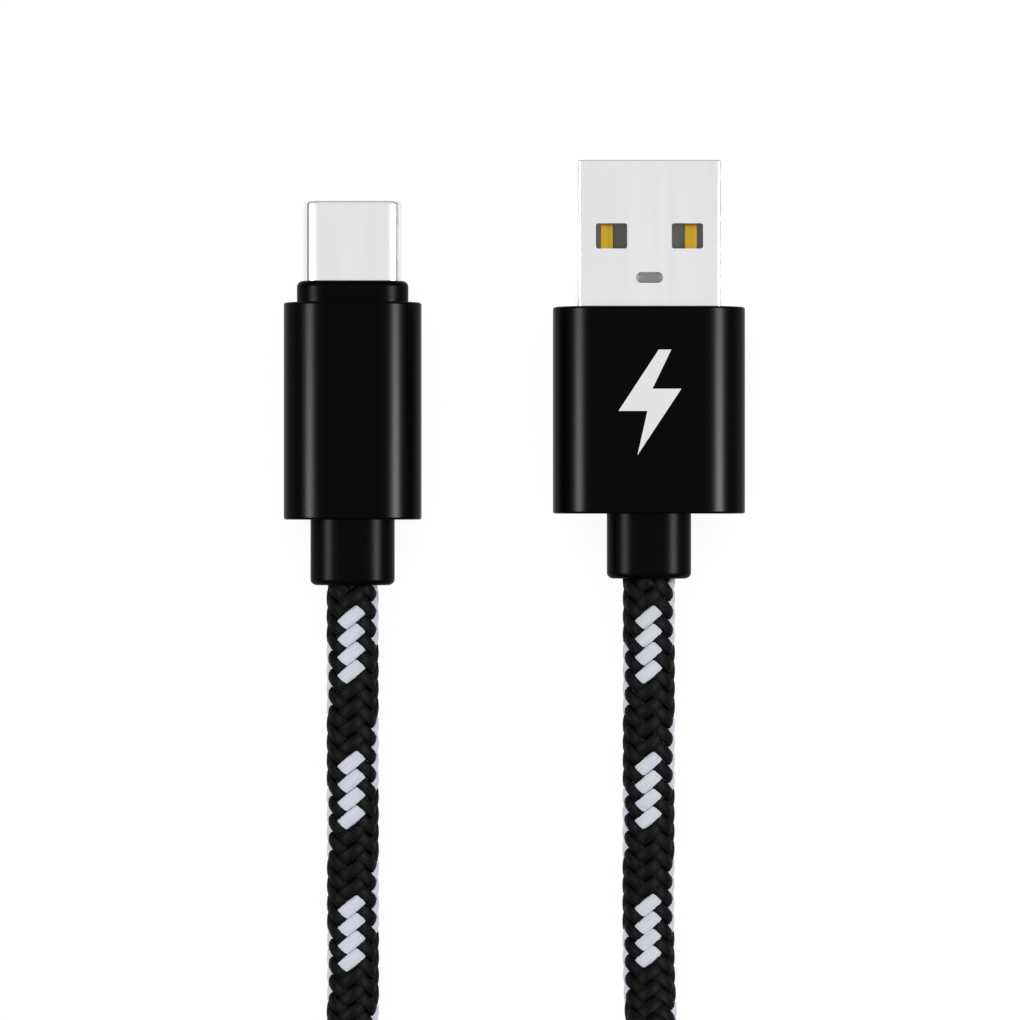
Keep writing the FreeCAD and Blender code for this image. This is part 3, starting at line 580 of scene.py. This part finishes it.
class Braid:
    """The line, its frames and how far round each yarn has gone, all along the cord."""

    def __init__(self, line):
        self.line, self.along = evenly(line, PITCH / RINGS_PER_PITCH)
        self.tangents, normals = frames_along(self.line)
        # Both ends show the same pattern, so the hank takes up the difference in turn and length.
        total = self.along[-1]
        ramp = np.clip((self.along - PLAIN_ENDS) / (total - 2 * PLAIN_ENDS), 0, 1)
        wanted = 2 * COLUMN_ANGLE
        found = self.angle_of(normals[-1])
        twist = (found - wanted + math.pi) % (2 * math.pi) - math.pi
        self.normals = turned(self.tangents, normals, ramp * twist)
        self.across = np.cross(self.tangents, self.normals)
        spare = (C_WHITE_AT + A_WHITE_AT - total + PITCH / 2) % PITCH - PITCH / 2
        travelled = self.along + ramp * spare - C_WHITE_AT
        self.steps = travelled * CARRIERS / PITCH + WHITE_IN_FRONT

    @staticmethod
    def angle_of(direction):
        return math.atan2(direction[2], direction[0])

    def middle_of(self, number, way):
        """The middle line of one yarn, which turns way (1 or -1) round the cord."""
        cell = 2 * math.pi / CARRIERS
        phase = COLUMN_ANGLE - cell / 2
        cells_round = 2 * number + way * self.steps
        round_cord = phase + cell * cells_round
        crossing = cells_round - OVER_AT[way]
        round_cord += cell * FLOAT_TILT * 2 / math.pi * np.sin(math.pi * crossing / 2)
        wave = squared(np.cos(math.pi * crossing / 2), WAVE_SQUARENESS)
        radius = BRAID_RADIUS + WAVE * wave
        out = (
            self.normals * np.cos(round_cord)[:, None]
            + self.across * np.sin(round_cord)[:, None]
        )
        return self.line + out * radius[:, None], out

    def yarn(self, number, way):
        """The corners and faces of one yarn, and its fibre coordinates."""
        middle, out = self.middle_of(number, way)
        ahead = unit(np.gradient(middle, axis=0))
        side = unit(np.cross(ahead, out))
        rise = np.cross(side, ahead)
        around = np.arange(SECTION_POINTS) * 2 * math.pi / SECTION_POINTS
        rings, count = len(middle), SECTION_POINTS
        points = np.empty((rings, count, 3))
        for k, angle in enumerate(around):
            flat = squared(math.cos(angle), YARN_SQUARENESS)
            points[:, k] = (
                middle
                + side * flat * YARN_WIDTH / 2
                + rise * math.sin(angle) * YARN_THICKNESS / 2
            )
        across = np.broadcast_to(np.cos(around) * YARN_WIDTH / 2, (rings, count))
        along = np.broadcast_to(self.along[:, None], (rings, count))
        own_place = FIBRES_APART[0] * number + FIBRES_APART[1] * way
        own = np.full((rings, count), own_place)
        fibre = np.stack([along, across, own], 2)
        ring = np.arange(rings - 1)[:, None] * count
        here, after = np.arange(count), (np.arange(count) + 1) % count
        faces = np.stack(
            [ring + here, ring + after, ring + count + after, ring + count + here], 2
        )
        caps = [list(range(count))[::-1], [(rings - 1) * count + k for k in range(count)]]
        return points.reshape(-1, 3), fibre.reshape(-1, 3), faces.reshape(-1, 4), caps


def make_yarns(name, braid, yarns, slot):
    """One piece holding several yarns, each given as (number, way)."""
    corners, fibres, faces = [], [], []
    start = 0
    for number, way in yarns:
        points, fibre, quads, caps = braid.yarn(number, way)
        corners.append(points)
        fibres.append(fibre)
        faces += (quads + start).tolist()
        faces += [[corner + start for corner in cap] for cap in caps]
        start += len(points)
    mesh = bpy.data.meshes.new(name)
    mesh.from_pydata(np.concatenate(corners).tolist(), [], faces)
    mesh.attributes.new("fibre", "FLOAT_VECTOR", "POINT").data.foreach_set(
        "vector", np.concatenate(fibres).astype(np.float32).ravel()
    )
    mesh.shade_smooth()
    return add_piece(name, mesh, slot)


def add_piece(name, mesh, slot):
    """Links a mesh as a piece of the cable, with that slot's material."""
    piece = bpy.data.objects.new(name, mesh)
    bpy.context.collection.objects.link(piece)
    mesh.materials.append(finish_of(slot))
    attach(piece, "root")
    return piece


def make_core(curve):
    """The cord's soft core, under the braid."""
    core = bpy.data.objects.new("cord_core", curve)
    curve.bevel_depth = BRAID_RADIUS - WAVE
    curve.bevel_resolution = 3
    curve.use_fill_caps = True
    bpy.context.collection.objects.link(core)
    curve.materials.append(finish_of("cable_jacket"))
    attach(core, "root")
    return core


def yarn_group(first, way):
    """As many neighbouring yarns as there are white ones, as (number, way)."""
    return [(number, way) for number in range(first, first + WHITE_YARNS)]


def make_cord():
    """The braid, its core and the strap, which replace the CAD cord."""
    curve = make_route()
    braid = Braid(read_line(curve))
    white = make_yarns("cord_braid_white", braid, yarn_group(0, 1), "braid_white")
    blacks = []
    for first, way in ((WHITE_YARNS, 1), (0, -1), (WHITE_YARNS, -1)):
        name = f"cord_braid_black_{len(blacks) + 1}"
        blacks.append(make_yarns(name, braid, yarn_group(first, way), "braid_black"))
    core = make_core(curve)
    strap = make_strap()
    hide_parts("cord_run_a", "cord_run_c", "cord_hank")


# ---------------------------------------------------------------- the strap

STRAP_SECTION_POINTS = 24
STRAP_SQUARENESS = 0.3  # 1 for an oval section, and less for a squarer one
STRAP_HALF = 0.46 * STRAP_THICKNESS
STRAP_CORNER = 0.0025
CORNER_STEPS = 6
UNDER_END = 0.004  # where the lower end starts, from the strap's middle
# the upper end as it comes over the lower one: how far across, and how many thicknesses up
LAP = ((-0.0055, 0.0), (-0.0035, 0.35), (-0.0015, 0.8), (0.0005, 0.98), (0.0063, 0.98))


def strap_line(low, high):
    """The middle of the webbing, once round the bundle and lapped on top, as (x, z) points."""
    half = (high.x - low.x) / 2 - STRAP_THICKNESS / 2
    bottom = STRAP_THICKNESS / 2
    top = high.z - 1.5 * STRAP_THICKNESS  # the lower layer of the lap has one more above it
    corner = STRAP_CORNER
    points = [(UNDER_END, top)]
    for x, z, start in (
        (half - corner, top - corner, 90),
        (half - corner, bottom + corner, 0),
        (-half + corner, bottom + corner, -90),
        (-half + corner, top - corner, -180),
    ):
        for step in range(CORNER_STEPS + 1):
            angle = math.radians(start - 90 * step / CORNER_STEPS)
            points.append((x + corner * math.cos(angle), z + corner * math.sin(angle)))
    for x, rise in LAP:
        points.append((x, top + rise * STRAP_THICKNESS))
    return points


def make_strap():
    """A band of webbing swept round the bundle, with rounded edges and a rounded end."""
    low, high = (Vector(corner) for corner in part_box("hank_strap"))
    middle_x = (low.x + high.x) / 2
    middle_y = (low.y + high.y) / 2
    half_width = (high.y - low.y) / 2
    line = strap_line(low, high)
    made = bmesh.new()
    rings = []
    for i, (x, z) in enumerate(line):
        before, after = line[max(i - 1, 0)], line[min(i + 1, len(line) - 1)]
        way = Vector((after[0] - before[0], after[1] - before[1])).normalized()
        ring = []
        for k in range(STRAP_SECTION_POINTS):
            turn = 2 * math.pi * k / STRAP_SECTION_POINTS
            across = squared(math.cos(turn), STRAP_SQUARENESS) * half_width
            thick = squared(math.sin(turn), STRAP_SQUARENESS) * STRAP_HALF
            place = (middle_x + x - way.y * thick, middle_y + across, z + way.x * thick)
            ring.append(made.verts.new(place))
        rings.append(ring)
    for one, other in zip(rings, rings[1:]):
        for k in range(len(one)):
            after = (k + 1) % len(one)
            made.faces.new((one[k], one[after], other[after], other[k]))
    made.faces.new(rings[0][::-1])
    made.faces.new(rings[-1])
    bmesh.ops.recalc_face_normals(made, faces=made.faces)
    mesh = bpy.data.meshes.new("strap_webbing")
    made.to_mesh(mesh)
    made.free()
    mesh.shade_smooth()
    piece = add_piece("strap_webbing", mesh, "strap_fabric")
    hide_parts("hank_strap")
    return piece


# ---------------------------------------------------------------- the printed mark

MARK_THICKNESS = 0.00002
MARK_BEHIND = 0.008  # from the sleeve's front face to the middle of the mark
MARK_SIZE = (0.0052, 0.00875)
# a plain lightning bolt, in shares of its width and length
BOLT = (
    (0.14, 0.5), (-0.5, -0.08), (-0.04, -0.08), (-0.2, -0.5), (0.5, 0.13), (0.04, 0.13),
    (0.34, 0.5),
)


def make_mark():
    """The bolt as a thin printed layer on top of the USB-A sleeve."""
    low, high = (Vector(corner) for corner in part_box("a_sleeve"))
    middle_x = (low.x + high.x) / 2
    middle_y = high.y - MARK_BEHIND
    made = bmesh.new()
    corners = [
        made.verts.new((middle_x + x * MARK_SIZE[0], middle_y + y * MARK_SIZE[1], high.z))
        for x, y in BOLT
    ]
    face = made.faces.new(corners)
    raised = bmesh.ops.extrude_face_region(made, geom=[face])["geom"]
    for vertex in (part for part in raised if isinstance(part, bmesh.types.BMVert)):
        vertex.co.z += MARK_THICKNESS
    bmesh.ops.recalc_face_normals(made, faces=made.faces)
    mesh = bpy.data.meshes.new("printed_mark")
    made.to_mesh(mesh)
    made.free()
    add_piece("printed_mark", mesh, "mark_white")


make_camera()
make_stage()
finish_cad_nodes()
make_cord()
make_mark()
